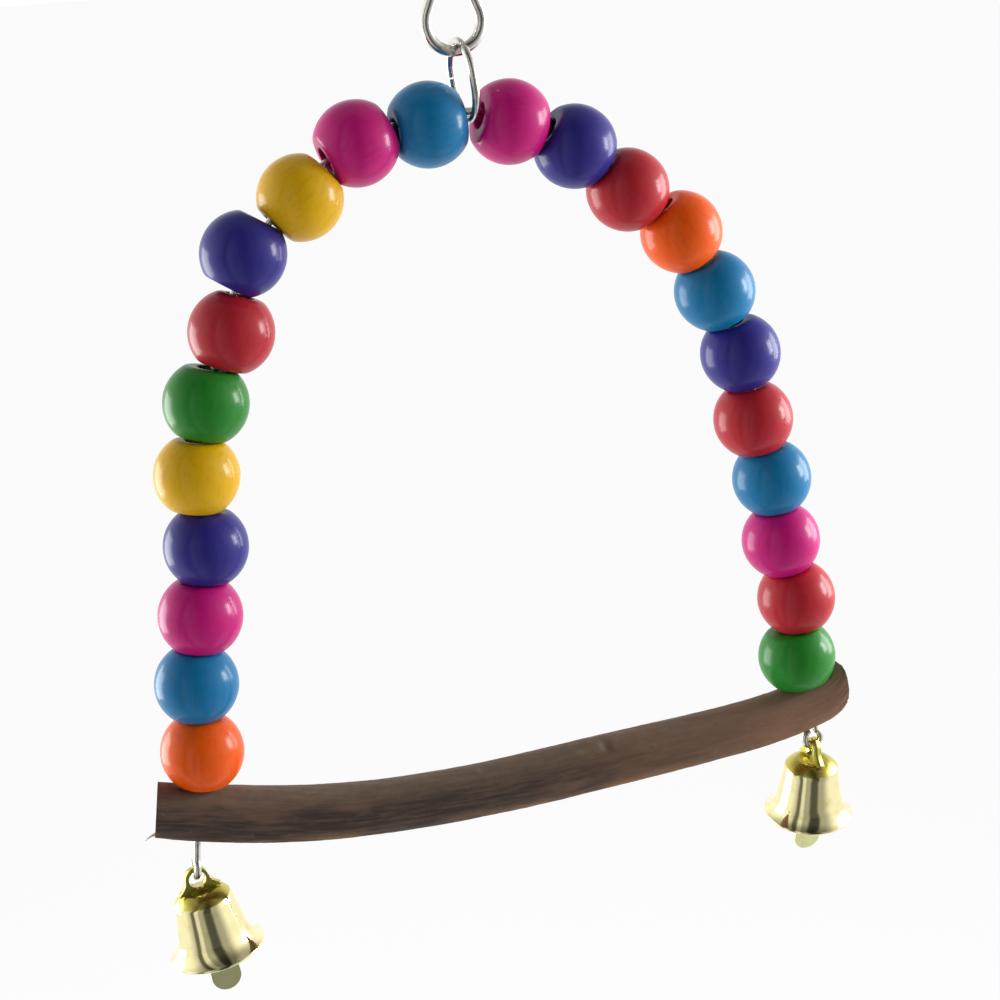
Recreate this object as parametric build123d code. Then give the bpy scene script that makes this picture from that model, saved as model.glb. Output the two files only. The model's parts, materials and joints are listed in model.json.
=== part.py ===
"""Bird swing: a bent wire arch threaded with wooden beads, standing in a branch perch.

Frame: X runs along the perch, Y from front to back, Z up. The origin is the seat at the top of
the hanging ring, where the cage hook bears. Everything else hangs below it.
"""
import os
from math import asin, cos, degrees, exp, pi, radians, sin, sqrt

from build123d import *

os.makedirs("parts", exist_ok=True)

# Driving dimensions in millimetres and degrees
running_gap = 0.04            # metal resting on metal
# Hanging ring, pear shaped, lying in the plane of the arch
ring_wire = 2.2
ring_bottom_radius = 5.3      # to the middle of the wire
ring_top_radius = 2.7
ring_centres = 6.9            # between the centres of the two round ends
ring_cut = 0.35               # where the two wire ends meet
# Oval link, nearly round, standing across the arch
link_wire = 1.5
link_radius = 6.4             # to the middle of the wire
link_straight = 1.7
link_cut = 0.3
link_lean = 6.0               # it hangs a little to one side in the round foot of the ring
# Arch wire: bends counted outwards from the link, each a radius and a turn
arch_wire_diameter = 1.4
apex_tilt = 3.7               # the wire falls to the right under the link
left_bends = ((48.0, 71.0), (130.0, 16.6))
right_bends = ((38.0, 27.0), (82.0, 50.0))
eye_radius = 1.8              # to the middle of the wire
eye_turn = 295.0
eye_neck_radius = 1.5
eye_neck_turn = 40.0
left_eye_drop = 3.9           # from the underside of the perch to the neck of the eye
right_eye_drop = 0.5
# Beads, eleven on each leg
bead_diameter = 16.0
bead_bore = 5.0
bead_bore_edge = 0.45
bead_gap = 0.1
link_room = 4.2               # between the two beads beside the link
threading_rounds = 6          # a bead's place and its turn settle each other
# From the perch upwards: the length of each bead, and how far it has slipped to the inside of the wire
left_lengths = (13.5, 13.3, 13.1, 13.3, 13.1, 12.9, 13.1, 12.9, 12.6, 12.6, 12.3)
right_lengths = (12.0, 12.8, 13.4, 13.1, 13.2, 13.1, 13.1, 13.1, 13.2, 12.6, 12.1)
left_slip = (0.8, -0.4, 0.2, 1.1, -0.8, -0.4, 1.6, -1.1, 1.6, 0.1, 1.6)
right_slip = (1.1, -1.1, -0.1, -0.6, 1.0, 0.4, 0.3, -0.5, 1.5, 0.8, 1.3)
# Perch, a sawn length of branch
perch_radius = 5.5
perch_taper = 0.06            # share of its thickness that it loses towards the right
perch_hole = 1.7
left_seat_depth = 0.1         # how far the bottom bead is let into the branch
right_seat_depth = 0.7
perch_seat_ease = 0.25        # room round the bead in its seat
perch_sags = ((0.25, 5.4), (0.46, 6.0), (0.74, 4.1))  # share of the way between the legs, and depth
perch_left_end = (9.6, 2.6)   # of the branch before sawing: beyond the leg, and how far it rises
perch_right_end = (8.4, 3.0)
perch_left_saw = 7.8          # from the leg to the saw cut
perch_right_saw = 6.5
perch_left_slant = 12.0       # the left cut runs back along the branch
perch_right_corner = 7.6      # radius of the lower right corner, worn round
perch_sections = 13
perch_ripple = 0.08           # unevenness of the bark
perch_waves = ((3, 9.0), (2, -14.0))  # waves round the branch, and how each winds along it
perch_section_points = 10
perch_knot = (0.62, 0.03, 0.55)  # place and half length as shares of the perch, and height
# Bells
left_bell_lean = -10.0        # each bell hangs a little askew on its eye
right_bell_lean = 10.0
bell_mouth_radius = 9.2
bell_height = 13.4
bell_wall = 0.5
bell_lip_edge = 0.5
bell_flare = (6.9, 4.2)       # radius and height where the flare ends
bell_flare_bow = 6.0
bell_shoulder = (5.6, 11.6)   # radius and height of the crease under the crown
bell_crown_bow = 5.0
bell_crown_radius = 3.2
strap_width = 1.7
strap_sheet = 0.6
strap_inner_radius = 1.7
strap_inner_height = 3.6
strap_foot = 6.2              # width across its foot
rivet_shank = 1.2
rivet_head = 2.2
rivet_head_height = 0.5
rivet_tab_width = 2.8
rivet_tab_length = 2.9
rivet_tab_sheet = 0.8
rivet_eye = 1.5               # hole in the tab
rivet_eye_bar = 0.7           # metal left below the hole
clapper_wire = 0.8
clapper_ring_radius = 1.6
clapper_below_mouth = 8.8
clapper_neck = 1.6
clapper_waist = 3.8
clapper_width = 5.8
clapper_sheet = 0.8

ORIGIN = Vector(0, 0, 0)
ACROSS = Vector(0, 1, 0)
UP = Vector(0, 0, 1)
DOWN = Vector(0, 0, -1)
STANDING = (Align.CENTER, Align.CENTER, Align.MIN)


def turned(vector, axis, angle):
    """The vector turned about an axis through the origin."""
    return vector.rotate(Axis(ORIGIN, axis), angle)


def bend_wire(start, heading, moves):
    """Edges of a rod bent in order: a move is the length of a run, or (radius, turn, axis)."""
    edges = []
    for move in moves:
        if isinstance(move, tuple):
            radius, turn, axis = move
            side = axis if turn > 0 else axis * -1
            centre = start + side.cross(heading) * radius
            arm = start - centre
            end = centre + turned(arm, axis, turn)
            edges.append(ThreePointArc(start, centre + turned(arm, axis, turn / 2), end))
            heading = turned(heading, axis, turn)
        else:
            end = start + heading * move
            edges.append(Line(start, end))
        start = end
    return edges


def round_rod(edges, diameter):
    """A round rod along connected edges."""
    path = Wire(edges)
    return sweep(Plane(origin=path @ 0, z_dir=path % 0) * Circle(diameter / 2), path=path)


def hanging_ring():
    """Pear-shaped wire ring; its two ends meet half way up one side."""
    lean = degrees(asin((ring_bottom_radius - ring_top_radius) / ring_centres))
    side = ring_centres * cos(radians(lean))
    half_side = (side - ring_cut) / 2
    outward = turned(Vector(1, 0, 0), ACROSS, -lean)
    upward = turned(UP, ACROSS, -lean)
    top_centre = UP * (ring_wire / 2 - ring_top_radius)
    start = top_centre + outward * ring_top_radius - upward * half_side
    turning = ACROSS * -1
    moves = (half_side, (ring_top_radius, 180 - 2 * lean, turning), side,
             (ring_bottom_radius, 180 + 2 * lean, turning), half_side)
    return round_rod(bend_wire(start, upward, moves), ring_wire)


def oval_link(top, way):
    """Oval wire link across the arch; top is the middle of its wire at the upper end, way runs down it."""
    half_side = (link_straight - link_cut) / 2
    start = top + way * (link_radius + half_side) + ACROSS * link_radius
    turning = way.cross(ACROSS)
    moves = (half_side, (link_radius, 180, turning), link_straight, (link_radius, 180, turning), half_side)
    return round_rod(bend_wire(start, way * -1, moves), link_wire)


def half_arch(apex, sign, bends):
    """Edges of one side of the arch, from the link out to where the straight leg starts."""
    heading = turned(Vector(sign, 0, 0), ACROSS, apex_tilt)
    return bend_wire(apex, heading, [(radius, sign * turn, ACROSS) for radius, turn in bends])


def flat_radius(length):
    """Radius of the flat ends of a bead of that length."""
    return sqrt(bead_diameter ** 2 - length ** 2) / 2


def thread_beads(edges, sign, lengths, slips):
    """Planes of the beads from the link down, and the straight run that the last ones need.

    Beads touch at the inner rims of their flat ends, so they stand further apart round a bend.
    """
    long_leg = Line(edges[-1] @ 1, (edges[-1] @ 1) + (edges[-1] % 1) * sum(lengths))
    line = Wire([*edges, long_leg])
    distance = (link_room + lengths[0]) / 2
    planes = []
    for place, (length, slip) in enumerate(zip(lengths, slips)):
        heading = line.tangent_at(distance, position_mode=PositionMode.LENGTH)
        if place:
            before = planes[-1].z_dir
            touching = distance + (lengths[place - 1] + length) / 2 + bead_gap
            rims = flat_radius(lengths[place - 1]) + slips[place - 1] + flat_radius(length) + slip
            for _ in range(threading_rounds):
                turn = radians(before.get_angle(heading))
                distance = touching + rims * sin(turn / 2)
                heading = line.tangent_at(distance, position_mode=PositionMode.LENGTH)
        inward = ACROSS.cross(heading) * sign
        point = line.position_at(distance, position_mode=PositionMode.LENGTH)
        planes.append(Plane(origin=point + inward * slip, x_dir=ACROSS, z_dir=heading))
    leg = distance + lengths[-1] / 2 + bead_gap - sum(edge.length for edge in edges)
    return planes, leg


def bead(length):
    """Turned wooden bead along Z: a ball cut flat at both ends, with an eased bore."""
    half = length / 2
    flat = flat_radius(length)
    bore = bead_bore / 2
    outline = Polyline((flat, -half), (bore + bead_bore_edge, -half),
                       (bore, bead_bore_edge - half), (bore, half - bead_bore_edge),
                       (bore + bead_bore_edge, half), (flat, half))
    ball = ThreePointArc((flat, half), (bead_diameter / 2, 0), (flat, -half))
    return revolve(Plane.XZ * make_face(outline + ball), Axis.Z)


def eye_moves(lead, axis):
    """Lead through the perch, a short neck bent one way and the round eye bent the other way."""
    return lead, (eye_neck_radius, -eye_neck_turn, axis), (eye_radius, eye_turn, axis)


def perch_section(plane, radius, share):
    """One cross-section of the branch, a little out of round, with the knot on its upper side."""
    knot_place, knot_spread, knot_height = perch_knot
    points = []
    for step in range(perch_section_points):
        angle = 2 * pi * step / perch_section_points
        ripple = perch_ripple * sum(sin(count * angle + wind * share) for count, wind in perch_waves)
        near_knot = exp(-((share - knot_place) / knot_spread) ** 2) * max(0.0, sin(angle)) ** 2
        reach = radius + ripple + knot_height * near_knot
        points.append((reach * cos(angle), reach * sin(angle)))
    return plane * make_face(Spline(*points, periodic=True))


def grown_branch(left_reach, right_reach, holes):
    """Branch as it grew, a little over-long, sagging between the legs."""
    left, right = holes
    sags = [left + (right - left) * share + DOWN * depth for share, depth in perch_sags]
    centre_line = Spline(left + left_reach, left, *sags, right, right + right_reach)
    sections = []
    for step in range(perch_sections):
        share = step / (perch_sections - 1)
        plane = Plane(origin=centre_line @ share, x_dir=ACROSS, z_dir=(centre_line % share) * -1)
        sections.append(perch_section(plane, perch_radius * (1 - perch_taper * share), share))
    return loft(sections)


def perch(holes, headings, bottom_beads):
    """Branch sawn off at both ends, drilled and dished under each bottom bead."""
    left, right = holes
    left_reach = Vector(-perch_left_end[0], 0, perch_left_end[1])
    right_reach = Vector(perch_right_end[0], 0, perch_right_end[1])
    branch = grown_branch(left_reach, right_reach, holes)
    left_cut = Plane(origin=left + left_reach * (perch_left_saw / perch_left_end[0]),
                     z_dir=turned(left_reach, UP, -perch_left_slant))
    right_cut = Plane(origin=right + Vector(perch_right_saw, 0, 0), z_dir=(1, 0, 0))
    for cut in (left_cut, right_cut):
        branch = split(branch, bisect_by=cut, keep=Keep.BOTTOM)
    corner = Rectangle(2 * perch_right_corner, 2 * perch_right_corner, align=(Align.MIN, Align.MAX))
    corner -= Circle(perch_right_corner)
    corner = Pos(perch_right_saw - perch_right_corner, perch_right_corner - perch_radius) * corner
    branch -= Pos(*right) * extrude(Plane.XZ * corner, amount=2 * perch_radius, both=True)
    for hole, heading, (bead_plane, length) in zip(holes, headings, bottom_beads):
        branch -= Plane(origin=hole, z_dir=heading) * Cylinder(perch_hole / 2, 6 * perch_radius)
        dish = split(Sphere(bead_diameter / 2 + perch_seat_ease), keep=Keep.BOTTOM,
                     bisect_by=Plane.XY.offset(length / 2 + bead_gap))
        branch -= bead_plane * dish
    return branch


def bell_form(inset):
    """Solid of the bell's outline, drawn in by inset; the mouth is at height 0."""
    flare_radius, flare_height = bell_flare
    shoulder_radius, shoulder_height = bell_shoulder
    lip = (bell_mouth_radius - inset, bell_lip_edge)
    flare = (flare_radius - inset, flare_height)
    shoulder = (shoulder_radius - inset, shoulder_height - inset / 2)
    crown = (bell_crown_radius, bell_height - inset)
    outline = [
        Polyline(crown, (0, crown[1]), (0, 0), (lip[0], 0), lip),
        RadiusArc(lip, flare, bell_flare_bow + inset),
        Line(flare, shoulder),
        RadiusArc(shoulder, crown, -bell_crown_bow + inset),
    ]
    return revolve(Plane.XZ * make_face(outline), Axis.Z)


def bell_shell(crown_top):
    """Thin stamped bell with an open mouth and a rivet hole in the crown."""
    shell = bell_form(0) - bell_form(bell_wall)
    shell -= Cylinder(rivet_shank / 2 + running_gap, 3 * bell_height)
    return crown_top * Pos(0, 0, -bell_height) * shell


def bell_strap(crown_top):
    """Sheet loop that stands on the crown, round at the top and spread at its foot."""
    def loop(radius, half_foot, foot):
        rise = strap_inner_height - strap_inner_radius
        body = Polyline((-half_foot, foot), (half_foot, foot), (radius, rise), (-radius, rise), close=True)
        return make_face(body) + Pos(0, rise) * Circle(radius)

    outside = loop(strap_inner_radius + strap_sheet, strap_foot / 2, -strap_sheet)
    inside = loop(strap_inner_radius, strap_inner_radius, 0)
    strap = extrude(Plane.XZ * (outside - inside), amount=strap_width / 2, both=True)
    strap -= Pos(0, 0, -strap_sheet / 2) * Cylinder(rivet_shank / 2 + running_gap, 2 * strap_sheet)
    return crown_top * Pos(0, 0, strap_sheet) * strap


def bell_rivet(crown_top):
    """Rivet through strap and crown, flattened inside the bell to a tab with a hole."""
    head = Pos(0, 0, strap_sheet) * Cylinder(rivet_head / 2, rivet_head_height, align=STANDING)
    shank = Pos(0, 0, -bell_wall) * Cylinder(rivet_shank / 2, bell_wall + strap_sheet, align=STANDING)
    tab = Rectangle(rivet_tab_width, rivet_tab_length, align=(Align.CENTER, Align.MAX))
    tab = fillet(tab.vertices().sort_by(Axis.Y)[:2], rivet_tab_width / 3)
    tab -= Pos(0, rivet_eye_bar + rivet_eye / 2 - rivet_tab_length) * Circle(rivet_eye / 2)
    tab = Pos(0, 0, -bell_wall) * extrude(Plane.XZ * tab, amount=rivet_tab_sheet / 2, both=True)
    return crown_top * (head + shank + tab)


def clapper_pivot():
    """Height of the clapper ring's centre from the crown, with the ring resting in the rivet's hole."""
    inner = clapper_ring_radius - clapper_wire / 2
    hole_foot = rivet_eye_bar - rivet_tab_length - bell_wall
    return hole_foot - sqrt(inner ** 2 - (rivet_tab_sheet / 2) ** 2) + running_gap


def clapper(crown_top):
    """Flat leaf-shaped tongue that hangs by a wire ring and shows below the mouth."""
    ring = Rot(0, 90, 0) * Torus(clapper_ring_radius, clapper_wire / 2)
    half_neck = clapper_neck / 2
    half_width = clapper_width / 2
    top = -clapper_ring_radius
    foot = -bell_height - clapper_below_mouth - clapper_pivot()
    widest = foot + half_width
    half_way = (top + widest) / 2
    edge = Spline((half_neck, top), (clapper_waist / 2, half_way), (half_width, widest),
                  tangents=((0, -1), (0, -1)))
    tip = ThreePointArc((half_width, widest), (0, foot), (-half_width, widest))
    leaf = make_face([edge, tip, mirror(edge, Plane.YZ), Line((-half_neck, top), (half_neck, top))])
    tongue = extrude(Plane.XZ * leaf, amount=clapper_sheet / 2, both=True)
    return crown_top * Pos(0, 0, clapper_pivot()) * (ring + tongue)


# Ring, link and the top of the arch rest on each other
ring_foot_centre = UP * (ring_wire / 2 - ring_top_radius - ring_centres)
link_way = turned(DOWN, ACROSS, -link_lean)
link_top = ring_foot_centre + link_way * (ring_bottom_radius - (ring_wire + link_wire) / 2 - running_gap)
link_foot = link_top + link_way * (2 * link_radius + link_straight)
apex = link_foot + turned(UP, ACROSS, apex_tilt) * ((link_wire + arch_wire_diameter) / 2 + running_gap)

nodes = {"hanging_ring": hanging_ring(), "oval_link": oval_link(link_top, link_way)}
sides = (("left", -1, left_bends, left_lengths, left_slip, left_seat_depth, left_eye_drop),
         ("right", 1, right_bends, right_lengths, right_slip, right_seat_depth, right_eye_drop))
arch_halves = []
holes = []
headings = []
bottom_beads = []
eyes = []
for side, sign, bends, lengths, slips, seat_depth, eye_drop in sides:
    crown_edges = half_arch(apex, sign, bends)
    bead_planes, leg = thread_beads(crown_edges, sign, lengths[::-1], slips[::-1])
    for number, plane, length in zip(range(len(lengths), 0, -1), bead_planes, lengths[::-1]):
        nodes[f"bead_{side}_{number:02d}"] = plane * bead(length)
    heading = crown_edges[-1] % 1
    holes.append((crown_edges[-1] @ 1) + heading * (leg + perch_radius - seat_depth))
    headings.append(heading)
    bottom_beads.append((bead_planes[-1], lengths[0]))
    # The left eye stands across the perch, the right eye lies along it
    eye_axis = heading.cross(ACROSS) if side == "left" else ACROSS
    lead = leg + 2 * perch_radius - seat_depth + eye_drop
    eye_edges = bend_wire(crown_edges[-1] @ 1, heading, eye_moves(lead, eye_axis))
    arch_halves.append(crown_edges + eye_edges)
    lowest = (DOWN - eye_axis * DOWN.dot(eye_axis)).normalized()
    eyes.append(eye_edges[-1].arc_center + lowest * eye_radius)

nodes["arch_wire"] = round_rod(arch_halves[0] + arch_halves[1], arch_wire_diameter)
nodes["perch"] = perch(holes, headings, bottom_beads)

# A strap rests on the two sides of its round eye, so it stands a little above the wire
eye_inner = eye_radius - arch_wire_diameter / 2
strap_lift = eye_inner - sqrt(eye_inner ** 2 - (strap_width / 2) ** 2)
strap_top = arch_wire_diameter / 2 + strap_lift + running_gap
for side, eye, strap_turn, lean in (("left", eyes[0], 0, Rot(0, left_bell_lean, 0)),
                                    ("right", eyes[1], 90, Rot(right_bell_lean, 0, 0))):
    crown_top = Pos(*eye) * lean * Pos(0, 0, strap_top - strap_inner_height - strap_sheet)
    nodes[f"{side}_bell_shell"] = bell_shell(crown_top)
    nodes[f"{side}_bell_strap"] = bell_strap(crown_top * Rot(0, 0, strap_turn))
    nodes[f"{side}_bell_rivet"] = bell_rivet(crown_top)
    nodes[f"{side}_clapper"] = clapper(crown_top)

for name, shape in nodes.items():
    export_step(shape.solid(), f"parts/{name}.step")
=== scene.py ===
import json
import math
import random

import bpy
import numpy as np
from mathutils import Matrix, Vector, noise
from mathutils.bvhtree import BVHTree


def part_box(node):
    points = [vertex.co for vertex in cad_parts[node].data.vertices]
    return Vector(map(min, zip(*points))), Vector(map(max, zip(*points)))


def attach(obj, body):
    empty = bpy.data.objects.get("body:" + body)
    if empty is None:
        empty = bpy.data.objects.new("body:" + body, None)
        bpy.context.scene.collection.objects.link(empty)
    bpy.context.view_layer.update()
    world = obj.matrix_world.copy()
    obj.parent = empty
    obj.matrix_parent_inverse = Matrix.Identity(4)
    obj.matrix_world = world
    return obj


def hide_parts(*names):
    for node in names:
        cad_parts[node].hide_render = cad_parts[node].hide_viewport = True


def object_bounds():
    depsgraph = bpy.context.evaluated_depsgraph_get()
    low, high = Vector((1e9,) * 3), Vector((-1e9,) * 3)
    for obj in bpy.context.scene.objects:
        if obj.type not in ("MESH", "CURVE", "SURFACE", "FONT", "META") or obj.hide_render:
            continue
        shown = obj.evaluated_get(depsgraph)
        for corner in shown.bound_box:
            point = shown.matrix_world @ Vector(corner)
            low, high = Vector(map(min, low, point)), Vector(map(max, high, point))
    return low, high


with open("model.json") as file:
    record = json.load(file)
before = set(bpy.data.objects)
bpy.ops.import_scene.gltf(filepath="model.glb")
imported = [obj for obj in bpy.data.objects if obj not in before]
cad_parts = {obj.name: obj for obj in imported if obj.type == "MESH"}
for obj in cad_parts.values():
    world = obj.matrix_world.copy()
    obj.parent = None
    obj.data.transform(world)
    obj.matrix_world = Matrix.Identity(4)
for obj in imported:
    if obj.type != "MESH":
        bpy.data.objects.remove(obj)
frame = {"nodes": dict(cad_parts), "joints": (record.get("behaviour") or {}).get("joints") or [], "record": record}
cad_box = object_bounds()

# The looks of a bird swing: lacquered wooden beads on a nickel wire arch, a branch with its bark on,
# two small brass bells and the ring and link that it hangs by. Lengths are in metres unless a name
# says otherwise, X runs along the perch, Y from front to back and Z up.
MM = 0.001
UP = Vector((0, 0, 1))
ACROSS = Vector((0, 1, 0))
SEED = 11

# View of the photograph, in degrees, and where the top of the arch lies from the camera
VIEW_AZIMUTH = -18.6
VIEW_ELEVATION = 15.5
VIEW_ROLL = -3.55
FOCAL_OVER_WIDTH = 2.2
SENSOR_MM = 36
ARCH_TOP_FROM_CAMERA = Vector((-5.65, 71.5, -404.4)) * MM

# Lamps: bearing from the camera and elevation in degrees, distance and size, and brightness
SOFTBOXES = {
    "right_lamp": (93, 9, 0.50, (0.11, 0.19), 22.0),
    "right_panel": (113, 4, 0.45, (0.17, 0.26), 9.0),
    "left_lamp": (-110, -8, 0.50, (0.28, 0.33), 7.5),
}
# Room: how bright it is beside and behind the swing, round the camera, overhead and on the floor
BACKGROUND = 1.0
ROOM_SIDES = 1.20
ROOM_FRONT = 0.45
ROOM_OVERHEAD = 0.35
FLOOR_SHARE = 0.95
FLOOR_GLOW = 0.92             # share of the floor that shows that level, while the rest takes the shadow
FLOOR_COLOUR = (0.9, 0.9, 0.9, 1)
FLOOR_DROP = 0.25
FLOOR_REACH = 12.0
ROOM_TURN = (42, 78)          # bearings between which the front passes into the sides
OVERHEAD_TURN = (0.35, 0.85)  # heights of a direction between which the room dims overhead
# What a polished bell finds round the camera: bearing, half width and brightness of upright strips
ROOM_STRIPS = ((12, 16, 0.06), (-44, 7, 0.14), (-30, 7, 0.95))
STRIP_EDGE = (1.3, 0.6)       # where a strip's soft edge starts and ends, in half widths

# Bead colours by material slot, as red, green and blue out of 255
BEAD_COLOURS = {
    "bead_orange": (242, 91, 0),
    "bead_blue": (6, 115, 167),
    "bead_magenta": (198, 14, 120),
    "bead_indigo": (43, 38, 130),
    "bead_yellow": (226, 175, 0),
    "bead_green": (33, 130, 37),
    "bead_red": (181, 33, 45),
}
BEAD_SEGMENTS = 72
BEAD_RIM = 0.8 * MM           # rounding where the ball meets its flat ends
BEAD_BORE_EDGE = 0.45 * MM
EASED_EDGE = ((0, 1), (0.12, 0.45), (0.4, 0.12), (1, 0))  # across and below, as shares of the edge's size
BEAD_GAP = 0.08 * MM          # left between neighbours
BEAD_GROWTH = 0.05 * MM       # step by which a flat end grows towards its neighbour
BEAD_LONGEST = 0.93           # reach of a flat end as a share of the ball's radius
BEAD_WOBBLE = 0.10 * MM
BEAD_WOBBLE_SIZE = 6 * MM

# Branch: its bark lies on the surface of the solid
PERCH_RADIUS = 5.5 * MM
PERCH_LENGTH = 148 * MM       # along the middle, for the change of colour from left to right
PERCH_SAG = 5 * MM            # how far the middle hangs below the left end, about
PERCH_STATIONS = 440
PERCH_SEGMENTS = 96
PERCH_PROBE = 2.6 * MM        # how far beside the drilled holes the branch is measured
PROBE_REACH = 40 * MM         # how far off the measuring rays start
PROBE_SPACING = 2.4 * MM
PROBE_MARGINS = (3.5 * MM, 0.3 * MM)  # not measured next to the left and the right saw cut
SEAT_REACH = 10.5 * MM        # this near to the middle of a bottom bead the bark only ever lies lower
HOLE_RADIUS = 1.2 * MM        # round a leg, where the drilled hole is nearly filled
HOLE_DIMPLE = 0.8 * MM
CUT_FACING = 0.9              # a saw cut's faces turn at least this much along the branch
CUT_DEPTHS = {"left": 6 * MM, "right": 0.1 * MM}
CUT_INSET = 0.06 * MM         # the last rings lie this far inside the saw cuts
CUT_BLEND = 9 * MM            # over this length the rings turn into the plane of the saw cut
END_UPRIGHT = 0.13            # the left end is drawn this much more upright than its cut
END_ROUNDING = 6 * MM         # over this length the right end is rounded off
END_SLOPE = 0.45              # and shows its grain where it faces outward more than this
KNOT_SHARE = 0.625            # place of the knot along the branch
KNOT_LENGTH = 0.007
KNOT_DEPTH = 0.5 * MM
KNOT_TURN = 0.5               # radians from the top of the branch towards the front
KNOT_TIGHTNESS = 24
# Splinter at the lower left corner: its reach, and its root as a share of a turn from the back over the top
SPLINTER = Vector((-2.7, -0.4, -0.85)) * MM
SPLINTER_HALF_WIDTH = 0.75 * MM
SPLINTER_ROOT = 0.76
SPLINTER_SUNK = 0.25
SPLINTER_BOW = 0.35 * MM
SPLINTER_TAPER = 0.85

# Bell outline: radius and height in millimetres, from the mouth up
BELL_WALL = 0.5
BELL_LIP = ((-0.35, 0.02), (-0.08, 0.12), (0, 0.3))  # rounded lip, from the mouth's radius
BELL_LIP_EDGE = 0.5
BELL_FLARE = (6.9, 4.2)
BELL_FLARE_BOW = 6.0
BELL_SHOULDER = (5.6, 11.6)
BELL_CROWN_BOW = 5.0
BELL_CROWN_RADIUS = 3.2
BELL_RIVET_HOLE = 0.62
BELL_SHADED_CROWN = 11.7 * MM   # height above the mouth from which the crown is painted a darker olive, a painted dark reflection of the dim room overhead
BELL_SEGMENTS = 96
# Strap of a bell, in millimetres: sheet lug with a round eye
LUG_EYE = 1.7
LUG_RISE = 2.5
LUG_TOP = 2.3
LUG_FOOT = 4.3
LUG_SHEET = 1.7


def srgb(red, green, blue):
    """A colour out of 255, as the linear colour that a shader takes."""
    def linear(level):
        level /= 255
        return level / 12.92 if level <= 0.04045 else ((level + 0.055) / 1.055) ** 2.4
    return (linear(red), linear(green), linear(blue), 1.0)


def smooth(low, high, value):
    """0 below low, 1 above high and an even curve between."""
    share = min(1.0, max(0.0, (value - low) / (high - low)))
    return share * share * (3 - 2 * share)


def joint(name):
    """The joint of that name in the frame."""
    return next(one for one in frame["joints"] if one["name"] == name)


# Shader writing


class Socket:
    """A shader output that stands in sums like a number."""

    def __init__(self, shader, output):
        self.shader = shader
        self.output = output

    def sum(self, operation, first, second):
        return self.shader.node("Math", {"operation": operation}, {0: first, 1: second})

    def __add__(self, other):
        return self.sum("ADD", self, other)

    def __radd__(self, other):
        return self.sum("ADD", other, self)

    def __sub__(self, other):
        return self.sum("SUBTRACT", self, other)

    def __rsub__(self, other):
        return self.sum("SUBTRACT", other, self)

    def __mul__(self, other):
        return self.sum("MULTIPLY", self, other)

    def __rmul__(self, other):
        return self.sum("MULTIPLY", other, self)

    def __truediv__(self, other):
        return self.sum("DIVIDE", self, other)

    def __pow__(self, other):
        return self.sum("POWER", self, other)


class Shader:
    """The node tree of one finish."""

    def __init__(self, tree):
        self.tree = tree
        tree.nodes.clear()

    def node(self, kind, settings=None, sockets=None, out=0):
        """One node: its settings first, then the values or links of its sockets."""
        made = self.tree.nodes.new("ShaderNode" + kind)
        for name, value in (settings or {}).items():
            setattr(made, name, value)
        for name, value in (sockets or {}).items():
            if isinstance(value, Socket):
                self.tree.links.new(value.output, made.inputs[name])
            else:
                made.inputs[name].default_value = value
        if out is None:
            return None
        if isinstance(out, tuple):
            return tuple(Socket(self, made.outputs[name]) for name in out)
        return Socket(self, made.outputs[out])

    def object_place(self):
        return self.node("TexCoord", {}, {}, "Object")

    def stretched(self, vector, scale):
        return self.node("Mapping", {}, {"Vector": vector, "Scale": scale})

    def noise(self, vector, scale, detail=3.0, roughness=0.55):
        return self.node("TexNoise", {}, {
            "Vector": vector, "Scale": scale, "Detail": detail, "Roughness": roughness})

    def step(self, value, low, high):
        """An even rise from 0 at low to 1 at high."""
        return self.node("MapRange", {"interpolation_type": "SMOOTHSTEP"}, {
            "Value": value, "From Min": low, "From Max": high})

    def mix(self, share, first, second):
        return self.node("Mix", {"data_type": "RGBA"}, {0: share, 6: first, 7: second}, 2)

    def bump(self, height, distance):
        return self.node("Bump", {}, {"Height": height, "Distance": distance, "Strength": 1.0})

    def finish(self, surface):
        self.node("OutputMaterial", {}, {"Surface": surface}, None)


def new_finish(name):
    """An empty material of that name, and the writer of its nodes."""
    material = bpy.data.materials.new(name)
    material.use_nodes = True
    return material, Shader(material.node_tree)


# Finishes


def dyed_wood(name, colour):
    """Dyed wood under clear lacquer: grain along the bore, paler scuffs and a fine orange peel."""
    material, shader = new_finish(name)
    place = shader.object_place()
    grain = shader.noise(shader.stretched(place, (1.0, 1.0, 0.10)), 1500, 4.0, 0.6)
    cloud = shader.noise(place, 190, 2.0)
    pores = shader.noise(shader.stretched(place, (1.0, 1.0, 0.06)), 5200, 2.0)
    dye = srgb(*colour)
    deep = srgb(*(0.80 * level for level in colour))
    pale = srgb(*(level + 0.10 * (255 - level) for level in colour))
    tint = shader.mix(shader.step(grain, 0.46, 0.72) * 0.35, dye, deep)
    tint = shader.mix(shader.step(cloud, 0.52, 0.80) * 0.30, tint, pale)
    tint = shader.mix(shader.step(pores, 0.66, 0.80) * 0.25, tint, deep)
    peel = shader.noise(place, 900, 2.0)
    height = peel * 0.6 + grain * 0.3 + pores * 0.1
    surface = shader.node("BsdfPrincipled", {}, {
        "Base Color": tint,
        "Roughness": 0.46 + cloud * 0.16,
        "Specular IOR Level": 0.10,
        "Normal": shader.bump(height, 0.03 * MM),
        "Coat Weight": 0.42 - shader.step(cloud, 0.62, 0.90) * 0.10,
        "Coat Roughness": 0.20,
        "Coat IOR": 1.50,
    })
    shader.finish(surface)
    return material


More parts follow.
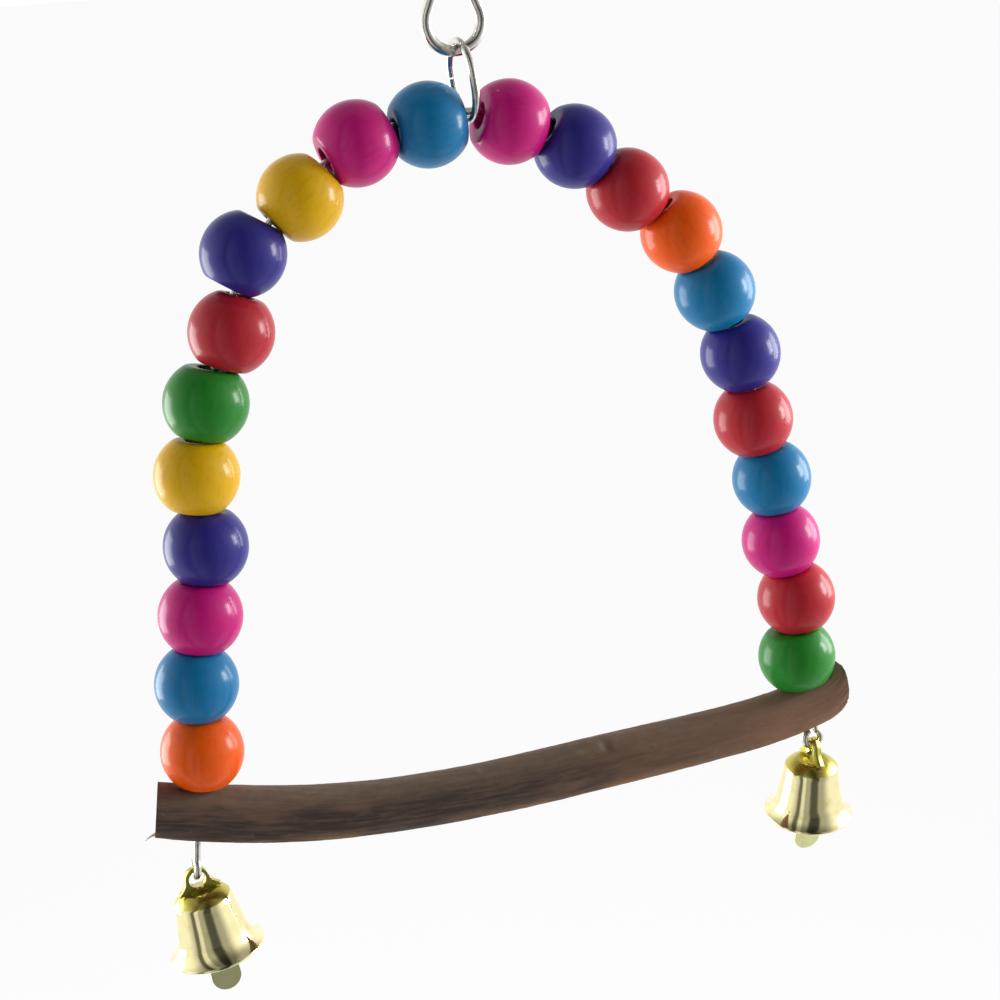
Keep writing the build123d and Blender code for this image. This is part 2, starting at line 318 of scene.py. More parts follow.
def nickel(name, brightness):
    """Nickel-plated wire: bright, with drawing marks and a little grey tarnish."""
    material, shader = new_finish(name)
    place = shader.object_place()
    tarnish = shader.noise(place, 420, 4.0, 0.6)
    marks = shader.noise(place, 3600, 3.0, 0.6)
    bright = srgb(*(brightness * level for level in (226, 222, 216)))
    grey = srgb(*(brightness * level for level in (172, 168, 162)))
    surface = shader.node("BsdfPrincipled", {}, {
        "Base Color": shader.mix(shader.step(tarnish, 0.45, 0.75), bright, grey),
        "Metallic": 1.0,
        "Roughness": 0.13 + shader.step(tarnish, 0.4, 0.8) * 0.16 + marks * 0.08,
        "Normal": shader.bump(marks, 0.012 * MM),
    })
    shader.finish(surface)
    return material


def brass(name, bright, dull, roughness, crown=None):
    """Brass plate: soft ripples from stamping, dull patches and fine scratches.

    crown is the height and the colour at which a bell turns to a painted darker olive over its top, a painted dark
    reflection of the dim room overhead.
    """
    material, shader = new_finish(name)
    place = shader.object_place()
    patches = shader.noise(place, 260, 4.0, 0.6)
    scratches = shader.noise(shader.stretched(place, (1.0, 1.0, 4.0)), 1500, 3.0, 0.65)
    ripple = shader.noise(place, 240, 1.0)
    dulled = shader.step(patches, 0.50, 0.76)
    tint = shader.mix(dulled, srgb(*bright), srgb(*dull))
    grain = roughness + dulled * 0.08 + shader.step(scratches, 0.55, 0.75) * 0.05
    if crown:
        level, olive = crown
        height = shader.node("SeparateXYZ", {}, {"Vector": place}, "Z")
        # painted dark reflection: above that height the crown is painted a darker olive, standing for the dim room
        # overhead
        shaded_top = shader.step(height + patches * 0.4 * MM, level, level + 0.5 * MM)
        tint = shader.mix(shaded_top, tint, srgb(*olive))
        grain = grain + shaded_top * 0.16
    surface = shader.node("BsdfPrincipled", {}, {
        "Base Color": tint,
        "Metallic": 1.0,
        "Roughness": grain,
        "Normal": shader.bump(ripple * 0.9 + scratches * 0.02, 0.06 * MM),
    })
    shader.finish(surface)
    return material


def bark():
    """Thin smooth bark: fibres along the branch, worn golden edges, a paler grey top that is painted top light
    broken up in dusty blotches, and a knot.
    """
    material, shader = new_finish("branch_bark")
    straight = shader.node("Attribute", {"attribute_name": "straight"}, {}, "Vector")
    along, _, height = shader.node("SeparateXYZ", {}, {"Vector": straight}, ("X", "Y", "Z"))
    share = along / PERCH_LENGTH
    fibres = shader.noise(shader.stretched(straight, (0.10, 1.0, 1.0)), 1100, 5.0, 0.62)
    threads = shader.noise(shader.stretched(straight, (0.07, 1.0, 1.0)), 3600, 3.0, 0.6)
    patches = shader.noise(shader.stretched(straight, (0.35, 1.0, 1.0)), 190, 4.0, 0.6)
    blotches = shader.noise(straight, 520, 3.0)
    tint = shader.mix(shader.step(fibres, 0.36, 0.70), srgb(58, 46, 40), srgb(92, 72, 58))
    tint = shader.mix(shader.step(patches, 0.52, 0.70) * 0.6, tint, srgb(112, 84, 68))
    reddened = shader.step(share, 0.42, 0.98)
    tint = shader.mix(reddened * (0.35 + patches * 0.6), tint, srgb(146, 108, 82))
    low_edge = shader.step(height, -0.35 * PERCH_RADIUS, -0.85 * PERCH_RADIUS)
    gold = low_edge * shader.step(patches, 0.44, 0.62)
    tint = shader.mix(gold * 0.75, tint, srgb(140, 104, 58))
    # painted top light: the upper side is painted paler grey, partly in blotches of dust
    top_light_and_dust = shader.step(height, 0.25 * PERCH_RADIUS, 0.95 * PERCH_RADIUS)
    tint = shader.mix(top_light_and_dust * (0.25 + blotches * 0.5), tint, srgb(132, 112, 92))
    tint = shader.mix(shader.step(threads, 0.60, 0.76) * 0.40, tint, srgb(42, 33, 28))
    tint = shader.mix(shader.step(blotches, 0.66, 0.78) * 0.35, tint, srgb(128, 118, 104))
    relief = fibres * 0.6 + threads * 0.4
    surface = shader.node("BsdfPrincipled", {}, {
        "Base Color": tint,
        "Roughness": 0.62 + fibres * 0.25,
        "Specular IOR Level": 0.35,
        "Normal": shader.bump(relief, 0.22 * MM),
    })
    shader.finish(surface)
    return material


def sawn_end():
    """End grain of the branch: rings round the pith, dark fuzz and a dark bark edge."""
    material, shader = new_finish("branch_sawn_end")
    straight = shader.node("Attribute", {"attribute_name": "straight"}, {}, "Vector")
    _, across, height = shader.node("SeparateXYZ", {}, {"Vector": straight}, ("X", "Y", "Z"))
    from_pith = (across * across + height * height) ** 0.5
    waver = shader.noise(straight, 420, 3.0)
    rings = shader.node("Math", {"operation": "SINE"}, {0: from_pith * 7200 + waver * 9.0})
    fuzz = shader.noise(straight, 2600, 4.0, 0.65)
    tint = shader.mix(shader.step(rings, -0.6, 0.9), srgb(98, 74, 54), srgb(138, 108, 78))
    tint = shader.mix(shader.step(fuzz, 0.5, 0.75) * 0.6, tint, srgb(64, 48, 36))
    bark_edge = shader.step(from_pith, 0.80 * PERCH_RADIUS, 0.94 * PERCH_RADIUS)
    tint = shader.mix(bark_edge, tint, srgb(46, 36, 30))
    surface = shader.node("BsdfPrincipled", {}, {
        "Base Color": tint,
        "Roughness": 0.85,
        "Specular IOR Level": 0.2,
        "Normal": shader.bump(fuzz * 0.6 + rings * 0.2, 0.15 * MM),
    })
    shader.finish(surface)
    return material


def torn_wood():
    """Pale fibres where the bark has torn away."""
    material, shader = new_finish("torn_wood")
    place = shader.object_place()
    fibres = shader.noise(shader.stretched(place, (0.2, 1.0, 1.0)), 4200, 3.0)
    surface = shader.node("BsdfPrincipled", {}, {
        "Base Color": shader.mix(fibres, srgb(206, 202, 194), srgb(244, 241, 234)),
        "Roughness": 0.8,
        "Normal": shader.bump(fibres, 0.08 * MM),
    })
    shader.finish(surface)
    return material


# Mesh making


def add_object(name, mesh, *materials):
    """A mesh as an object in the scene, with its materials."""
    made = bpy.data.objects.new(name, mesh)
    bpy.context.scene.collection.objects.link(made)
    for material in materials:
        mesh.materials.append(material)
    return made


def skin(name, rings, close_along=False):
    """Quads between closed rings of points; close_along joins the last ring to the first."""
    count = len(rings[0])
    points = [point for ring in rings for point in ring]
    faces = []
    for step in range(len(rings) if close_along else len(rings) - 1):
        here = step * count
        there = (step + 1) % len(rings) * count
        for place in range(count):
            after = (place + 1) % count
            faces.append((here + place, here + after, there + after, there + place))
    mesh = bpy.data.meshes.new(name)
    mesh.from_pydata(points, [], faces)
    mesh.polygons.foreach_set("use_smooth", [True] * len(faces))
    mesh.update()
    return mesh


def lathe(name, outline, segments, wobble=None):
    """A closed outline of (radius, height) turned about Z; wobble takes a little off a point."""
    rings = []
    for radius, height in outline:
        ring = []
        for place in range(segments):
            angle = 2 * math.pi * place / segments
            point = Vector((radius * math.cos(angle), radius * math.sin(angle), height))
            ring.append(point if wobble is None else wobble(point))
        rings.append(ring)
    return skin(name, rings, close_along=True)


def arc(start, end, radius, steps):
    """Points from start to end on a circle; a positive radius bows to the left of the way."""
    start, end = Vector(start), Vector(end)
    chord = end - start
    normal = Vector((-chord.y, chord.x)).normalized()
    depth = math.sqrt(radius * radius - chord.length_squared / 4)
    centre = (start + end) / 2 - normal * math.copysign(depth, radius)
    first = math.atan2(start.y - centre.y, start.x - centre.x)
    turn = math.atan2(end.y - centre.y, end.x - centre.x) - first
    turn = (turn + math.pi) % (2 * math.pi) - math.pi
    return [centre + abs(radius) * Vector((math.cos(first + turn * step / steps),
                                           math.sin(first + turn * step / steps)))
            for step in range(steps + 1)]


# Beads


def bead_place(node):
    """Centre and axis of a bead; the axis runs down the leg."""
    spin = joint(node + "_spin")
    return Vector(spin["pos_m"]), Vector(spin["axis"])


def bead_sizes(node):
    """Ball radius, half length and bore radius of a bead, read from its solid."""
    origin, axis = bead_place(node)
    offsets = [vertex.co - origin for vertex in frame["nodes"][node].data.vertices]
    heights = [offset.dot(axis) for offset in offsets]
    radii = [(offset - axis * height).length for offset, height in zip(offsets, heights)]
    return max(radii), max(heights), min(radii)


def bead_rim_points(place, ball, ends):
    """Points round a bead's section in the plane of the arch; ends are its reach up and down the leg."""
    origin, axis = place
    aside = ACROSS.cross(axis)
    points = []
    for reach, way in ((ends[0], -axis), (ends[1], axis)):
        flat = math.sqrt(ball * ball - reach * reach)
        points += [origin + way * reach + aside * (flat * share) for share in np.linspace(-1, 1, 9)]
        for angle in np.linspace(0, math.asin(reach / ball), 12, endpoint=False):
            points += [origin + way * (ball * math.sin(angle)) + aside * (ball * math.cos(angle) * side)
                       for side in (-1, 1)]
    return points


def meets(points, place, ball, ends):
    """Whether a bead's outline comes within the gap of its neighbour."""
    origin, axis = place
    for point in points:
        height = (point - origin).dot(axis)
        if (point - origin).length < ball + BEAD_GAP and -ends[0] - BEAD_GAP < height < ends[1] + BEAD_GAP:
            return True
    return False


def bead_ends(side):
    """Reach of every bead of a leg, up and down: round the bends the flat ends grow on until they touch."""
    nodes = [node for node in sorted(frame["nodes"]) if node.startswith(f"bead_{side}_")]
    places = [bead_place(node) for node in nodes]
    sizes = [bead_sizes(node) for node in nodes]
    ends = [[half, half] for _, half, _ in sizes]
    growing = [(number, way) for number in range(len(nodes)) for way in (0, 1)
               if 0 <= number + (1, -1)[way] < len(nodes)]
    while growing:
        for number, way in list(growing):
            neighbour = number + (1, -1)[way]
            ball = sizes[number][0]
            longer = list(ends[number])
            longer[way] += BEAD_GROWTH
            points = bead_rim_points(places[number], ball, longer)
            if longer[way] > BEAD_LONGEST * ball or meets(points, places[neighbour], ball, ends[neighbour]):
                growing.remove((number, way))
            else:
                ends[number] = longer
    return dict(zip(nodes, ends))


def bead_rim(ball, half, bore):
    """Section of one end of a bead, from the bore to the ball: eased bore, flat end and rounded rim."""
    flat = math.sqrt(ball * ball - half * half)
    edge = BEAD_BORE_EDGE
    rim_start = max(bore + 1.2 * edge, flat - 0.9 * BEAD_RIM)
    rim_height = half - 0.45 * BEAD_RIM
    rim_end = math.sqrt(ball * ball - rim_height * rim_height)
    rim = []
    for step in range(6):
        share = step / 6
        start, corner, end = (1 - share) ** 2, 2 * share * (1 - share), share ** 2
        rim.append((start * rim_start + corner * flat + end * rim_end,
                    (start + corner) * half + end * rim_height))
    return [(bore + across * edge, half - below * edge) for across, below in EASED_EDGE] + rim, rim_height


def bead_outline(ball, low, high, bore):
    """Right half of a bead's section, with its own length above and below the middle."""
    top, top_height = bead_rim(ball, high, bore)
    bottom, bottom_height = bead_rim(ball, low, bore)
    angles = np.linspace(math.asin(top_height / ball), -math.asin(bottom_height / ball), 37)
    middle = [(ball * math.cos(angle), ball * math.sin(angle)) for angle in angles]
    return top + middle + [(radius, -height) for radius, height in reversed(bottom)]


def turned_bead(node, ends, finishes):
    """A bead in place of its solid, never quite round and turned to a grain of its own."""
    origin, axis = bead_place(node)
    ball, _, bore = bead_sizes(node)
    draw = random.Random(f"{SEED} {node}")
    shift = Vector([draw.uniform(0, 50) for _ in range(3)])

    def wobble(point):
        loss = 0.5 + 0.5 * noise.noise(point / BEAD_WOBBLE_SIZE + shift)
        return point - Vector((point.x, point.y, 0)).normalized() * loss * BEAD_WOBBLE

    slot = next(part["material_slot"] for part in frame["record"]["subparts"] if part["node"] == node)
    mesh = lathe(node + "_turned", bead_outline(ball, *ends, bore), BEAD_SEGMENTS, wobble)
    piece = add_object(node + "_turned", mesh, finishes[slot])
    tilt = axis.to_track_quat("Z", "Y").to_matrix().to_4x4()
    piece.matrix_world = Matrix.Translation(origin) @ tilt @ Matrix.Rotation(draw.uniform(0, 6.28), 4, "Z")
    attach(piece, node)
    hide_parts(node)


# Perch


def spline_through(points, count):
    """Evenly spaced points on a smooth curve through a few points, and the direction at each."""
    points = np.array(points)
    knots = np.concatenate([[0], np.cumsum(np.linalg.norm(np.diff(points, axis=0), axis=1))])
    gaps = np.diff(knots)
    size = len(points)
    system = np.zeros((size, size))
    right_side = np.zeros((size, 3))
    system[0, 0] = system[-1, -1] = 1
    for row in range(1, size - 1):
        system[row, row - 1:row + 2] = gaps[row - 1], 2 * (gaps[row - 1] + gaps[row]), gaps[row]
        slopes = np.diff(points[row - 1:row + 2], axis=0) / gaps[row - 1:row + 1, None]
        right_side[row] = 6 * (slopes[1] - slopes[0])
    bend = np.linalg.solve(system, right_side)
    places = np.linspace(0, knots[-1], count)
    line = []
    for place in places:
        span = min(np.searchsorted(knots, place, side="right") - 1, size - 2)
        gap = gaps[span]
        before = (knots[span + 1] - place) / gap
        after = 1 - before
        straight = before * points[span] + after * points[span + 1]
        bow = (before ** 3 - before) * bend[span] + (after ** 3 - after) * bend[span + 1]
        line.append(straight + bow * gap ** 2 / 6)
    line = np.array(line)
    return [Vector(p) for p in line], [Vector(t).normalized() for t in np.gradient(line, axis=0)]


def saw_cut(side):
    """Middle and outward normal of the branch's flat end on that side."""
    low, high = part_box("perch")
    way, end = (-1, low.x) if side == "left" else (1, high.x)
    faces = [face for face in frame["nodes"]["perch"].data.polygons
             if face.normal.x * way > CUT_FACING and (end - face.center.x) * way < CUT_DEPTHS[side]]
    area = sum(face.area for face in faces)
    middle = sum((face.center * face.area for face in faces), Vector()) / area
    normal = sum((face.normal * face.area for face in faces), Vector()).normalized()
    return middle, normal


def middle_line(surface, cuts):
    """Points along the middle of the branch, from one saw cut to the other."""
    first, last = cuts["left"][0], cuts["right"][0]
    points = []
    for x in np.arange(first.x + PROBE_MARGINS[0], last.x - PROBE_MARGINS[1], PROBE_SPACING):
        levels = []
        for y in (-PERCH_PROBE, PERCH_PROBE):
            for way in (-1, 1):
                far = Vector((x, y, first.z - PERCH_SAG - way * PROBE_REACH))
                levels.append(surface.ray_cast(far, UP * way)[0].z)
        points.append(Vector((x, 0, sum(levels) / len(levels))))
    levels = np.array([point.z for point in points])
    evened = np.convolve(np.pad(levels, 2, mode="edge"), np.ones(5) / 5, mode="valid")
    for point, level in zip(points[2:-4], evened[2:-4]):
        point.z = level
    slope = (points[4] - points[0]) / (points[4].x - points[0].x)
    start = points[0] + slope * (first.x - points[0].x)
    return [start + slope * CUT_INSET, *points[1::2], Vector((last.x - CUT_INSET, 0, last.z))]


def bark_relief(along, angle):
    """Height of the bark above the even branch."""
    round_way = Vector((math.cos(angle), math.sin(angle), 0))
    sway = noise.noise(Vector((along / (24 * MM), 0, 0)) + round_way * 0.8)
    ridge = noise.fractal(Vector((along / (11 * MM), 0, 0)) + round_way * 3.4, 1.0, 2.0, 4)
    fibre = noise.fractal(Vector((along / (5 * MM), 7, 0)) + round_way * 9.0, 1.0, 2.0, 3)
    return (sway * 0.14 + ridge * 0.11 + fibre * 0.05) * MM


def knot_dent(share, angle):
    """Depth of the small eye in the knot."""
    along = math.exp(-((share - KNOT_SHARE) / KNOT_LENGTH) ** 2)
    return KNOT_DEPTH * along * max(0.0, math.sin(angle - KNOT_TURN)) ** KNOT_TIGHTNESS


def branch_ring(surface, centre, normal, legs):
    """Radii of the solid round one station, with the drilled holes nearly filled."""
    upward = (UP - normal * UP.dot(normal)).normalized()
    sideways = upward.cross(normal)
    reach = 3 * PERCH_RADIUS
    rays = []
    for place in range(PERCH_SEGMENTS):
        angle = 2 * math.pi * place / PERCH_SEGMENTS
        outward = sideways * math.cos(angle) + upward * math.sin(angle)
        hit = surface.ray_cast(centre + outward * reach, -outward, reach)
        rays.append((angle, outward, reach - hit[3] if hit[0] else 0.0))
    usual = float(np.median([radius for _, _, radius in rays]))
    ring = []
    for angle, outward, radius in rays:
        rim = centre + outward * usual
        from_leg = min((rim - foot - axis * (rim - foot).dot(axis)).length for foot, axis in legs)
        ring.append((angle, outward, max(radius, usual - HOLE_DIMPLE) if from_leg < HOLE_RADIUS else radius))
    return ring


def branch(finishes):
    """The sawn branch in place of its solid."""
    mesh = frame["nodes"]["perch"].data
    surface = BVHTree.FromPolygons([vertex.co for vertex in mesh.vertices],
                                   [tuple(face.vertices) for face in mesh.polygons])
    cuts = {side: saw_cut(side) for side in ("left", "right")}
    line, headings = spline_through(middle_line(surface, cuts), PERCH_STATIONS)
    steps = [(b - a).length for a, b in zip(line, line[1:])]
    length = sum(steps)
    legs = [bead_place(f"bead_{side}_01") for side in ("left", "right")]
    seats = [foot for foot, _ in legs]
    rings = []
    straight = []
    for station, (centre, heading) in enumerate(zip(line, headings)):
        along = sum(steps[:station])
        share = along / length
        normal = heading.lerp(-cuts["left"][1], 1 - smooth(0, CUT_BLEND, along))
        normal = normal.lerp(cuts["right"][1], 1 - smooth(0, CUT_BLEND, length - along)).normalized()
        upright = END_UPRIGHT * (1 - smooth(0, CUT_BLEND, along))
        ring = []
        for angle, outward, radius in branch_ring(surface, centre, normal, legs):
            relief = bark_relief(along, angle) - knot_dent(share, angle)
            from_seat = min((centre + outward * radius - seat).length for seat in seats)
            radius += min(0.0, relief) if from_seat < SEAT_REACH else relief
            point = centre + outward * radius
            ring.append(point - Vector((upright * (point.z - centre.z), 0, 0)))
            straight.append((along, radius * math.cos(angle), radius * math.sin(angle)))
        rings.append(ring)
    mesh = skin("perch_branch", rings)
    add_sawn_ends(mesh, rings, line, straight)
    piece = add_object("perch_branch", mesh, finishes["branch_bark"], finishes["branch_sawn_end"])
    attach(piece, "frame")
    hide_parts("perch")
    torn_splinter(rings[0], finishes)


def torn_splinter(end_ring, finishes):
    """A sliver of pale wood that the saw tore from the lower edge of the left end."""
    root = end_ring[int(SPLINTER_ROOT * PERCH_SEGMENTS)]
    rings = []
    for share in np.linspace(0, 1, 9).tolist():
        middle = root + SPLINTER * (share - SPLINTER_SUNK) + UP * (SPLINTER_BOW * math.sin(3 * share))
        size = SPLINTER_HALF_WIDTH * (1 - SPLINTER_TAPER * share)
        rings.append([middle + ACROSS * (size * math.cos(turn)) + UP * (0.5 * size * math.sin(turn))
                      for turn in np.linspace(0, 2 * math.pi, 10, endpoint=False)])
    piece = add_object("perch_splinter", skin("perch_splinter", rings), finishes["torn_wood"])
    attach(piece, "frame")


def add_sawn_ends(mesh, rings, line, straight):
    """Closes both ends with flat discs of their own, and keeps each point's place in the branch."""
    points = [vertex.co.copy() for vertex in mesh.vertices]
    faces = [tuple(polygon.vertices) for polygon in mesh.polygons]
    bark_faces = len(faces)
    places = list(straight)
    count = PERCH_SEGMENTS
    for station, inward in ((0, False), (len(rings) - 1, True)):
        before = station * count
        for share in (1.0, 0.75, 0.5, 0.25):
            first = len(points)
            for place in range(count):
                points.append(line[station].lerp(rings[station][place], share))
                along, across, height = straight[station * count + place]
                places.append((along, across * share, height * share))
            if share < 1.0:
                for place in range(count):
                    after = (place + 1) % count
                    quad = (before + after, before + place, first + place, first + after)
                    faces.append(quad[::-1] if inward else quad)
            before = first
        faces.append(tuple(range(before, before + count)) if inward
                     else tuple(reversed(range(before, before + count))))
    mesh.clear_geometry()
    mesh.from_pydata(points, [], faces)
    mesh.polygons.foreach_set("use_smooth", [place < bark_faces for place in range(len(faces))])
    mesh.update()
    rounded = line[-1].x - END_ROUNDING
    mesh.polygons.foreach_set("material_index", [
        int(place >= bark_faces or (face.center.x > rounded and face.normal.x > END_SLOPE))
        for place, face in enumerate(mesh.polygons)])
    attribute = mesh.attributes.new("straight", "FLOAT_VECTOR", "POINT")
    attribute.data.foreach_set("vector", [level for place in places for level in place])
    mesh.update()


# Bells


def bell_outline(mouth, height):
    """Section of the stamped shell, outside from the mouth up and inside back down, in millimetres."""
    flare, shoulder = Vector(BELL_FLARE), Vector(BELL_SHOULDER)
    lip = Vector((mouth, BELL_LIP_EDGE))
    crown = Vector((BELL_CROWN_RADIUS, height))
    outside = [Vector((mouth + across, rise)) for across, rise in BELL_LIP]
    outside += arc(lip, flare, BELL_FLARE_BOW, 16)
    outside += [flare.lerp(shoulder, step / 8) for step in range(1, 8)]
    outside += arc(shoulder, crown, -BELL_CROWN_BOW, 14)
    inside = [Vector((max(BELL_RIVET_HOLE, point.x - BELL_WALL),
                      max(0.0, point.y - BELL_WALL * (point.y > shoulder.y))))
              for point in reversed(outside[len(BELL_LIP):])]
    hole = [Vector((BELL_RIVET_HOLE, height)), Vector((BELL_RIVET_HOLE, height - BELL_WALL))]
    return outside + hole + inside


def stamped_bell(side, finishes):
    """A bell shell in place of its solid, smooth enough to mirror the room."""
    node = f"{side}_bell_shell"
    eye = Vector(joint(f"{side}_bell_swing")["pos_m"])
    axis = (eye - Vector(joint(f"{side}_clapper_swing")["pos_m"])).normalized()
    offsets = [vertex.co - eye for vertex in frame["nodes"][node].data.vertices]
    heights = [offset.dot(axis) for offset in offsets]
    mouth = max((offset - axis * height).length for offset, height in zip(offsets, heights))
    outline = bell_outline(mouth / MM, (max(heights) - min(heights)) / MM)
    mesh = lathe(node + "_stamped", [(point.x * MM, point.y * MM) for point in outline], BELL_SEGMENTS)
    piece = add_object(node + "_stamped", mesh, finishes["bell_brass"])
    stand = axis.to_track_quat("Z", "Y").to_matrix().to_4x4()
    piece.matrix_world = Matrix.Translation(eye + axis * min(heights)) @ stand
    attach(piece, f"{side}_bell")
    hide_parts(node)


def lug_outline():
    """Front view of the strap in millimetres: outer edge from foot to foot, and eye from its foot."""
    steps = 7
    flank = [Vector((LUG_FOOT, 0)).lerp(Vector((LUG_TOP, LUG_RISE)), step / steps) for step in range(steps)]
    flank = [point - Vector((0.4 * math.sin(math.pi * step / steps), 0)) for step, point in enumerate(flank)]
    over = [Vector((LUG_TOP * math.cos(angle), LUG_RISE + LUG_TOP * math.sin(angle)))
            for angle in np.linspace(0, math.pi, 19)]
    outer = flank + over + [Vector((-point.x, point.y)) for point in reversed(flank)]
    eye = [Vector((LUG_EYE * math.sin(angle), LUG_RISE - LUG_EYE * math.cos(angle)))
           for angle in np.linspace(0, 2 * math.pi, len(outer))]
    return outer, eye


def riveted_strap(side, finishes):
    """The strap of a bell in place of its solid: a sheet lug, broad at its foot, with a round eye."""
    node = f"{side}_bell_strap"
    swing = Vector(joint(f"{side}_bell_swing")["pos_m"])
    axis = (swing - Vector(joint(f"{side}_clapper_swing")["pos_m"])).normalized()
    foot = min((vertex.co - swing).dot(axis) for vertex in frame["nodes"][node].data.vertices)
    broad = ACROSS.cross(axis) if side == "left" else axis.cross(Vector((1, 0, 0))).normalized()
    outer, eye = lug_outline()
    count = len(outer)
    points = [(point.x * MM, depth * LUG_SHEET / 2 * MM, point.y * MM)
              for depth in (-1, 1) for point in outer + eye]
    faces = []
    for step in range(count - 1):
        front = (step, step + 1, count + step + 1, count + step)
        faces += [front, tuple(2 * count + place for place in reversed(front))]
    faces += [(count, count - 1, 0), (2 * count, 3 * count - 1, 3 * count)]
    flat_faces = len(faces)
    for first in (0, count):
        for step in range(count - 1):
            rim = (first + step, first + step + 1)
            faces.append((rim[1], rim[0], 2 * count + rim[0], 2 * count + rim[1]))
    faces.append((0, count - 1, 3 * count - 1, 2 * count))
    mesh = bpy.data.meshes.new(node + "_lug")
    mesh.from_pydata(points, [], faces)
    mesh.polygons.foreach_set("use_smooth", [place >= flat_faces for place in range(len(faces))])
    mesh.update()
    piece = add_object(node + "_lug", mesh, finishes["strap_brass"])
    turn = Matrix((broad, axis.cross(broad), axis)).transposed().to_4x4()
    piece.matrix_world = Matrix.Translation(swing + axis * foot) @ turn
    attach(piece, f"{side}_bell")
    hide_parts(node)


# Stage


def direction(azimuth, elevation):
    """Unit vector from the object, for angles in degrees; azimuth 0 is the front."""
    azimuth, elevation = math.radians(azimuth), math.radians(elevation)
    return Vector((math.sin(azimuth) * math.cos(elevation), -math.cos(azimuth) * math.cos(elevation),
                   math.sin(elevation)))


def view_axes():
    """Right, up and backward of the photograph's view."""
    roll = math.radians(VIEW_ROLL)
    back = direction(VIEW_AZIMUTH, VIEW_ELEVATION)
    right = UP.cross(back).normalized()
    up = back.cross(right)
    return right * math.cos(roll) + up * math.sin(roll), up * math.cos(roll) - right * math.sin(roll), back


def photo_camera():
    """The photograph's camera, placed from the top of the arch."""
    right, up, back = view_axes()
    arch_top = Vector(joint("frame_swing")["pos_m"])
    offset = ARCH_TOP_FROM_CAMERA
    data = bpy.data.cameras.new("photo_camera")
    data.sensor_width = SENSOR_MM
    data.lens = FOCAL_OVER_WIDTH * SENSOR_MM
    data.clip_start = 10 * MM
    camera = bpy.data.objects.new("photo_camera", data)
    bpy.context.scene.collection.objects.link(camera)
    place = arch_top - right * offset.x - up * offset.y - back * offset.z
    camera.matrix_world = Matrix.Translation(place) @ Matrix((right, up, back)).transposed().to_4x4()
    bpy.context.scene.camera = camera


def softbox(name, aim, bearing, elevation, distance, size, brightness):
    """A rectangular lamp that faces the object."""
    data = bpy.data.lights.new(name, "AREA")
    data.shape = "RECTANGLE"
    data.size, data.size_y = size
    data.energy = brightness * math.pi * size[0] * size[1]
    lamp = bpy.data.objects.new(name, data)
    bpy.context.scene.collection.objects.link(lamp)
    toward = direction(VIEW_AZIMUTH + bearing, elevation)
    turn = toward.to_track_quat("Z", "Y").to_matrix().to_4x4()
    lamp.matrix_world = Matrix.Translation(aim + toward * distance) @ turn


def room_level(shader, toward):
    """Brightness of the room in a direction, and how high that direction points."""
    back = view_axes()[2]
    ahead = Vector((back.x, back.y, 0)).normalized()

    def share(axis):
        return shader.node("VectorMath", {"operation": "DOT_PRODUCT"}, {0: toward, 1: axis}, "Value")

    bearing = shader.node("Math", {"operation": "ARCTAN2"}, {0: share(UP.cross(ahead)), 1: share(ahead)})
    bearing = bearing * (180 / math.pi)
    turned = shader.node("Math", {"operation": "ABSOLUTE"}, {0: bearing})
    level = ROOM_FRONT + shader.step(turned, *ROOM_TURN) * (ROOM_SIDES - ROOM_FRONT)
    for middle, half_width, brightness in ROOM_STRIPS:
        from_middle = shader.node("Math", {"operation": "ABSOLUTE"}, {0: bearing - middle})
        cover = shader.step(from_middle, half_width * STRIP_EDGE[0], half_width * STRIP_EDGE[1])
        level = level * (1 - cover) + brightness * cover
    return level, share(UP)


def studio_room():
    """A pale room that is dimmer round the camera, and the white background that the camera sees."""
    world = bpy.data.worlds.new("studio_room")
    bpy.context.scene.world = world
    world.use_nodes = True
    shader = Shader(world.node_tree)
    level, height = room_level(shader, shader.node("TexCoord", {}, {}, "Generated"))
    level = level * (1 - shader.step(height, *OVERHEAD_TURN) * (1 - ROOM_OVERHEAD))
    seen = shader.node("LightPath", {}, {}, "Is Camera Ray")
    strength = seen * BACKGROUND + (1 - seen) * level
    surface = shader.node("Background", {}, {"Color": (1, 1, 1, 1), "Strength": strength})
    shader.node("OutputWorld", {}, {"Surface": surface}, None)


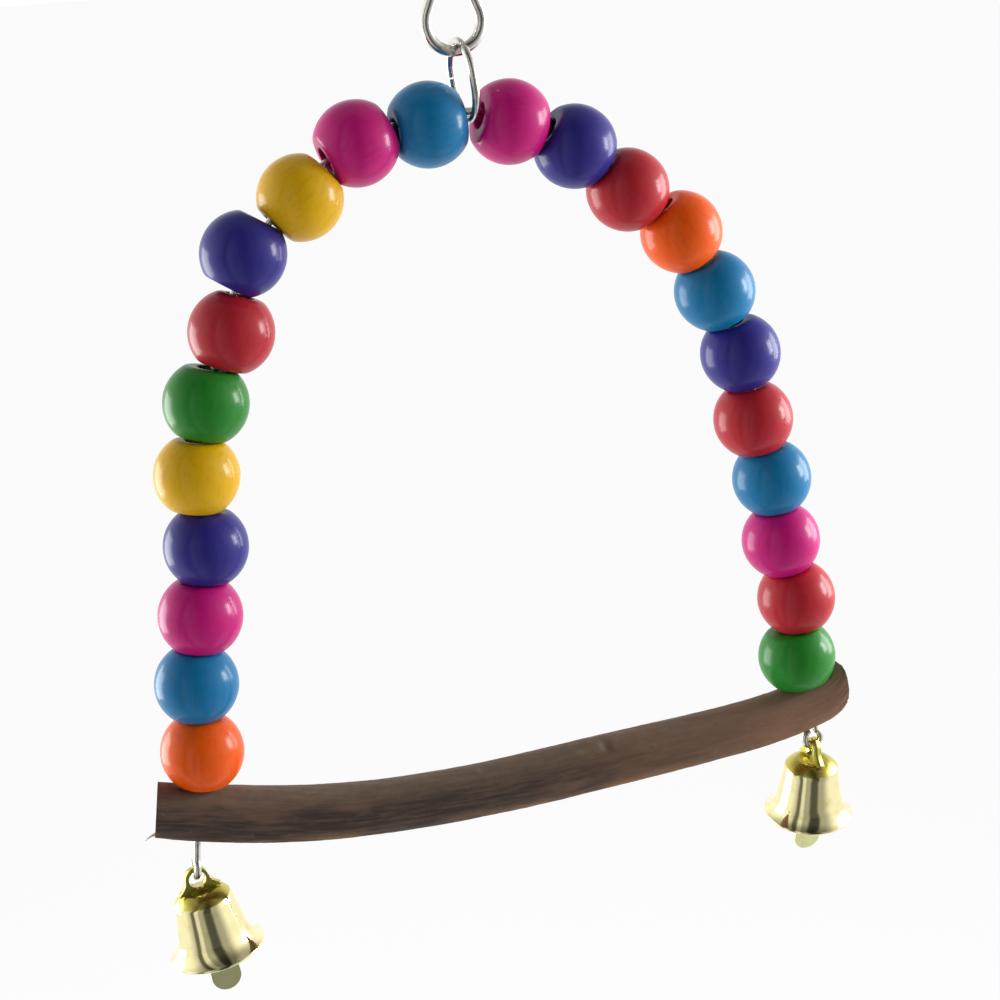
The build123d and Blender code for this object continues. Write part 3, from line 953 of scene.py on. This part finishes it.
def pale_floor(aim):
    """A wide pale floor below the swing, which polished metal sees about as bright as the room above it."""
    material, shader = new_finish("pale_floor")
    camera_ray, glossy_ray, clear_ray = shader.node("LightPath", {}, {}, (
        "Is Camera Ray", "Is Glossy Ray", "Is Transmission Ray"))
    place = shader.node("NewGeometry", {}, {}, "Position")
    from_swing = shader.node("VectorMath", {"operation": "SUBTRACT"}, {0: place, 1: aim}, "Vector")
    level = room_level(shader, from_swing)[0] * FLOOR_SHARE
    seen = shader.node("Math", {"operation": "MAXIMUM"}, {0: camera_ray, 1: clear_ray})
    shown = shader.node("Math", {"operation": "MAXIMUM"}, {0: seen, 1: glossy_ray})
    matt = shader.node("BsdfDiffuse", {}, {"Color": FLOOR_COLOUR})
    white = shader.node("Emission", {}, {
        "Color": (1, 1, 1, 1), "Strength": seen * BACKGROUND + (1 - seen) * level})
    shader.finish(shader.node("MixShader", {}, {0: shown * FLOOR_GLOW, 1: matt, 2: white}))
    low = cad_box[0].z - FLOOR_DROP
    corners = [(x * FLOOR_REACH, y * FLOOR_REACH, low) for x, y in ((-1, -1), (1, -1), (1, 1), (-1, 1))]
    mesh = bpy.data.meshes.new("pale_floor")
    mesh.from_pydata(corners, [], [(0, 1, 2, 3)])
    add_object("pale_floor", mesh, material)


# The swing
finishes = {slot: dyed_wood(slot, colour) for slot, colour in BEAD_COLOURS.items()}
finishes["ring_nickel"] = nickel("ring_nickel", 1.0)
finishes["link_nickel"] = nickel("link_nickel", 0.96)
finishes["arch_wire_nickel"] = nickel("arch_wire_nickel", 0.98)
# the bell's crown gets a painted darker olive, a painted dark reflection of the dim room overhead
finishes["bell_brass"] = brass("bell_brass", (242, 232, 178), (222, 210, 146), 0.09,
                               crown=(BELL_SHADED_CROWN, (196, 182, 88)))
finishes["strap_brass"] = brass("strap_brass", (204, 194, 96), (182, 172, 80), 0.30)
finishes["rivet_brass"] = brass("rivet_brass", (206, 192, 132), (160, 146, 86), 0.24)
finishes["clapper_brass"] = brass("clapper_brass", (238, 236, 178), (214, 212, 150), 0.42)
finishes["branch_bark"] = bark()
finishes["branch_sawn_end"] = sawn_end()
finishes["torn_wood"] = torn_wood()

for part in frame["record"]["subparts"]:
    solid = frame["nodes"][part["node"]]
    solid.data.materials.clear()
    solid.data.materials.append(finishes[part["material_slot"]])
for side in ("left", "right"):
    for node, ends in bead_ends(side).items():
        turned_bead(node, ends, finishes)
branch(finishes)
for side in ("left", "right"):
    stamped_bell(side, finishes)
    riveted_strap(side, finishes)

photo_camera()
aim = (cad_box[0] + cad_box[1]) / 2
for name, placing in SOFTBOXES.items():
    softbox(name, aim, *placing)
studio_room()
pale_floor(aim)
bpy.context.scene.view_settings.view_transform = "Standard"
